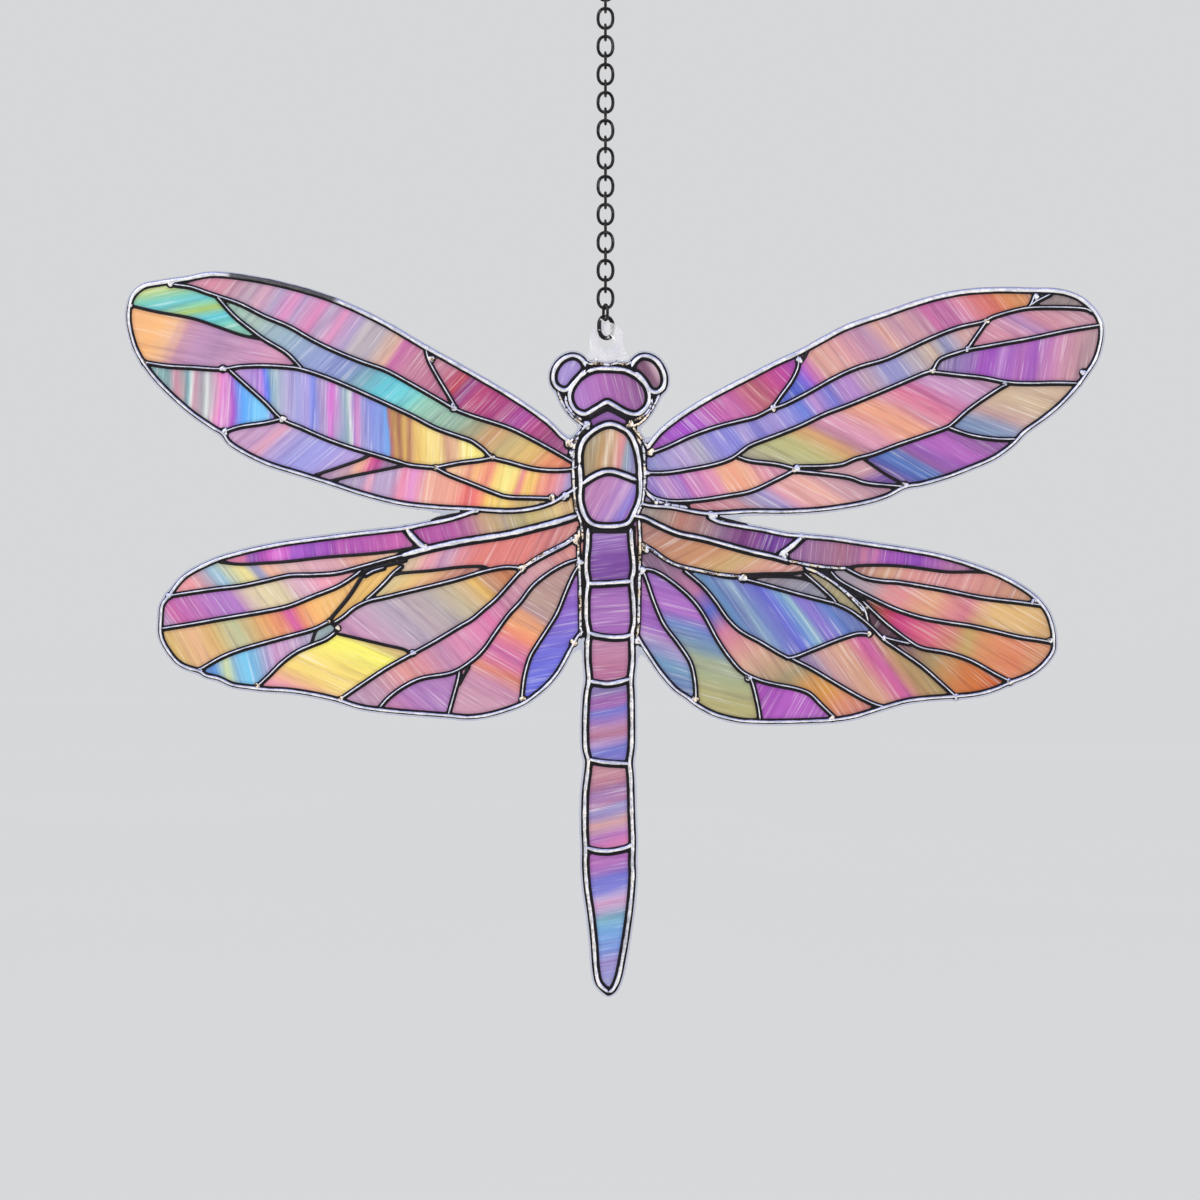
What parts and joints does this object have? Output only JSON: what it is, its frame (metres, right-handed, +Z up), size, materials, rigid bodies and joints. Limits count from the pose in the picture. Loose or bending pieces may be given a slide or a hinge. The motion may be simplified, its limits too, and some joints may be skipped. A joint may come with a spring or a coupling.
{
  "type": "acrylic suncatcher",
  "caption": "Flat acrylic dragonfly with a leaded-glass look, hung by its clear tab on a fine black link chain.",
  "frame": {"origin": "inside top of the end ring, the point that rests on the hook", "axes": "+Z up along the chain, +X across the wings to the viewer's right, the decorated face looks towards -Y"},
  "size_m": [0.2025, 0.0042, 0.2227],
  "materials": {
    "printed_acrylic": "clear acrylic sheet, glossy, with translucent glass colours and raised silver and black lead lines on its front",
    "blackened_metal": "blackened steel wire, satin"
  },
  "bodies": {
    "root": {"acrylic_panel": "printed_acrylic", "tab_ring": "blackened_metal", "hang_ring": "blackened_metal", "chain_oval_01": "blackened_metal", "chain_oval_02": "blackened_metal", "chain_oval_03": "blackened_metal", "chain_oval_04": "blackened_metal", "chain_oval_05": "blackened_metal", "chain_oval_06": "blackened_metal", "chain_oval_07": "blackened_metal", "chain_oval_08": "blackened_metal", "chain_oval_09": "blackened_metal", "chain_oval_10": "blackened_metal", "chain_oval_11": "blackened_metal", "chain_oval_12": "blackened_metal", "chain_connector_01": "blackened_metal", "chain_connector_02": "blackened_metal", "chain_connector_03": "blackened_metal", "chain_connector_04": "blackened_metal", "chain_connector_05": "blackened_metal", "chain_connector_06": "blackened_metal", "chain_connector_07": "blackened_metal", "chain_connector_08": "blackened_metal", "chain_connector_09": "blackened_metal", "chain_connector_10": "blackened_metal", "chain_connector_11": "blackened_metal", "chain_connector_12": "blackened_metal", "chain_connector_13": "blackened_metal"}
  },
  "joints": []
}
